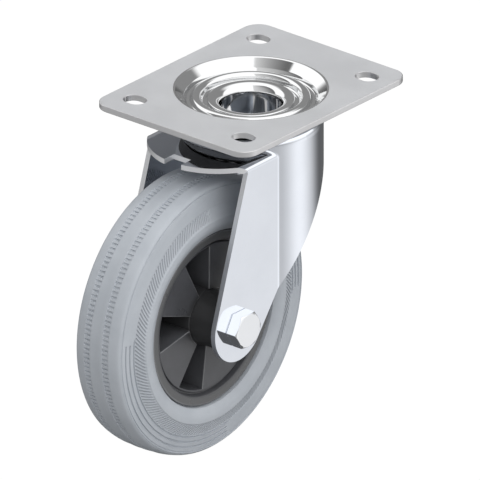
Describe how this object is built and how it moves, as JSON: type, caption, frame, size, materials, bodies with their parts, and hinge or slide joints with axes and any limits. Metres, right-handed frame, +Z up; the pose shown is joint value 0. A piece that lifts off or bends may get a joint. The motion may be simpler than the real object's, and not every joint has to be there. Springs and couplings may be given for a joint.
{
  "type": "swivel castor",
  "caption": "Swivel castor: slotted top plate, double ball bearing head, pressed steel fork and a rubber tyred wheel on roller bearings.",
  "frame": {"origin": "centre of the top plate's upper face, on the swivel axis", "axes": "+X along the wheel's axle towards the bolt's head, +Y along the plate's long side away from the trailing wheel, +Z up out of the plate"},
  "size_m": [0.11, 0.2025, 0.195],
  "materials": {
    "plate_zinc": "satin zinc plated sheet, bright in the pressed dish",
    "fork_zinc": "bright bluish zinc plated sheet",
    "bolt_zinc": "bright zinc plated",
    "track_steel": "turned steel",
    "ball_steel": "polished",
    "black_rubber": "matt",
    "insert_nylon": "dull blue nylon",
    "wheel_plastic": "moulded black, fine satin texture",
    "cover_plastic": "moulded black",
    "cage_plastic": "natural polyamide",
    "grey_rubber": "satin blue grey solid rubber"
  },
  "bodies": {
    "mount": {"top_plate": "plate_zinc", "kingpin": "plate_zinc", "lower_race": "track_steel", "dust_ring": "black_rubber"},
    "upper_row": {"upper_balls": "ball_steel"},
    "lower_row": {"lower_balls": "ball_steel"},
    "fork_body": {"fork": "fork_zinc", "axle_bolt": "bolt_zinc", "lock_nut": "bolt_zinc", "nut_insert": "insert_nylon", "axle_tube": "track_steel", "washer_right": "bolt_zinc", "washer_left": "bolt_zinc"},
    "wheel": {"wheel_centre": "wheel_plastic", "tyre": "grey_rubber", "bearing_cover_right": "cover_plastic", "bearing_cover_left": "cover_plastic"},
    "roller_row": {"roller_cage": "cage_plastic", "bearing_rollers": "ball_steel"}
  },
  "joints": [
    {"name": "swivel", "type": "hinge", "parent": "mount", "child": "fork_body", "pos_m": [0, 0, -0.0212], "axis": [0, 0, 1], "continuous": true},
    {"name": "upper_roll", "type": "hinge", "parent": "mount", "child": "upper_row", "pos_m": [0, 0, -0.0105], "axis": [0, 0, 1], "continuous": true},
    {"name": "lower_roll", "type": "hinge", "parent": "mount", "child": "lower_row", "pos_m": [0, 0, -0.01955], "axis": [0, 0, 1], "continuous": true},
    {"name": "wheel_spin", "type": "hinge", "parent": "fork_body", "child": "wheel", "pos_m": [0, -0.0525, -0.115], "axis": [1, 0, 0], "continuous": true},
    {"name": "roller_roll", "type": "hinge", "parent": "fork_body", "child": "roller_row", "pos_m": [0, -0.0525, -0.115], "axis": [1, 0, 0], "continuous": true}
  ],
  "couplings": [
    {"joint": "upper_roll", "follows": "swivel", "ratio": 0.5},
    {"joint": "lower_roll", "follows": "swivel", "ratio": 0.5},
    {"joint": "roller_roll", "follows": "wheel_spin", "ratio": 0.574}
  ]
}
